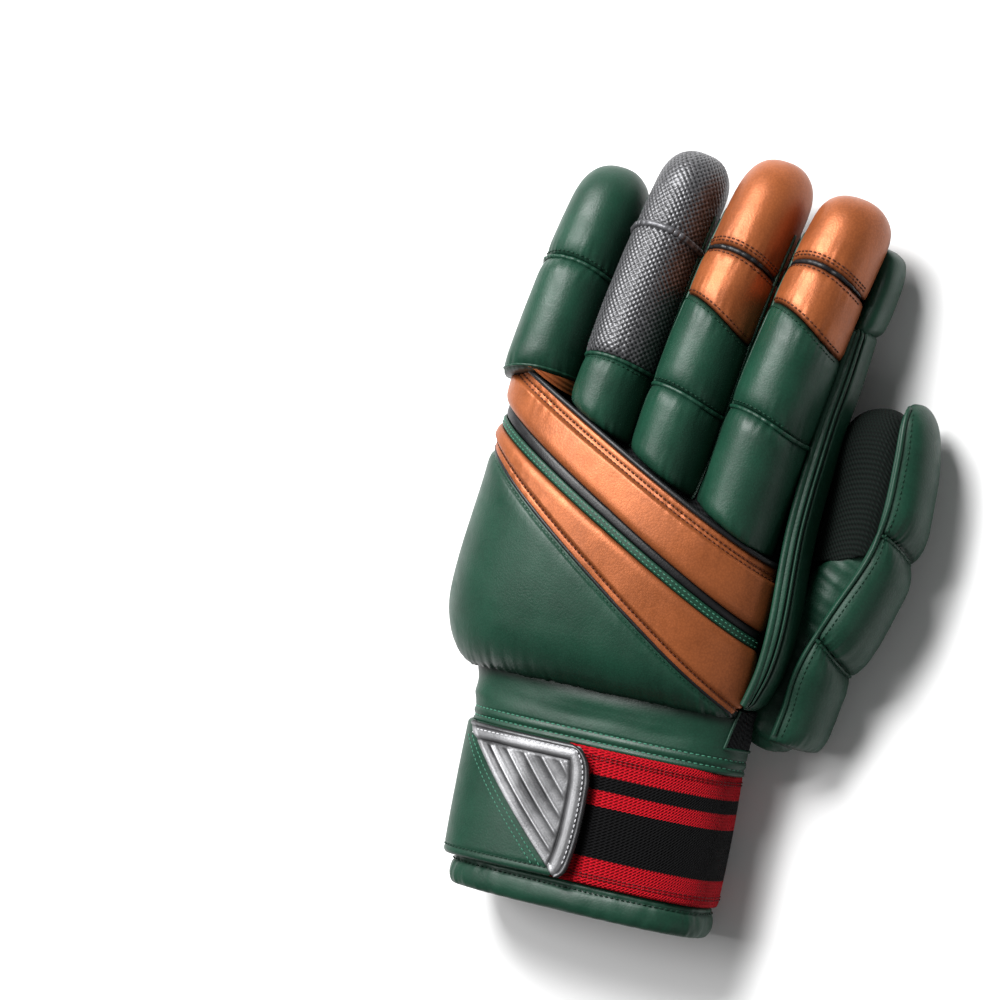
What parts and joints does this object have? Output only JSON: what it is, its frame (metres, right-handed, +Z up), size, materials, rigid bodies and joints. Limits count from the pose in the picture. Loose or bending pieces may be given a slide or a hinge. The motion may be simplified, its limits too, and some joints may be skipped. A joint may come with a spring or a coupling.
{
  "type": "cricket batting glove",
  "caption": "Padded left-hand cricket batting glove: rolled finger and thumb padding, crowned back panel, open hand and finger hollows, elastic wrist with a strap.",
  "frame": {"origin": "middle of the bounding box at ground height", "axes": "+Y from the cuff to the fingertips, +Z up from the palm to the back of the hand, +X towards the thumb"},
  "size_m": [0.1846, 0.3014, 0.0658],
  "materials": {
    "green_leather": "satin",
    "copper_leather": "metallic satin",
    "grey_mesh": "woven, glossy threads",
    "black_mesh": "matt mesh",
    "black_leather": "satin",
    "striped_elastic": "ribbed webbing",
    "silver_rubber": "metallic"
  },
  "bodies": {
    "root": {"wrist_elastic": "striped_elastic", "cuff_hem": "green_leather", "palm_leather": "green_leather", "back_lining": "black_mesh", "little_stall": "black_mesh", "ring_stall": "black_mesh", "middle_stall": "black_mesh", "index_stall": "black_mesh", "thumb_cuff": "green_leather", "thumb_stall": "black_mesh", "back_panel": "green_leather", "lower_band": "copper_leather", "green_inlay": "green_leather", "black_inlay": "black_leather", "upper_band": "copper_leather", "band_piping": "black_leather", "little_mid_roll": "green_leather", "little_tip_roll": "green_leather", "ring_base_roll": "green_leather", "ring_mid_roll": "grey_mesh", "ring_tip_roll": "grey_mesh", "middle_base_roll": "green_leather", "middle_lower_roll": "green_leather", "middle_upper_roll": "copper_leather", "middle_tip_roll": "copper_leather", "index_base_roll": "green_leather", "index_lower_roll": "green_leather", "index_upper_roll": "copper_leather", "index_tip_roll": "copper_leather", "ribbed_patch": "copper_leather", "thumb_base_roll": "green_leather", "thumb_mid_roll": "green_leather", "thumb_tip_roll": "green_leather", "wrist_band": "green_leather", "strap_tab": "green_leather", "strap_badge": "silver_rubber", "side_bar": "green_leather", "index_side_pad": "green_leather"}
  },
  "joints": []
}
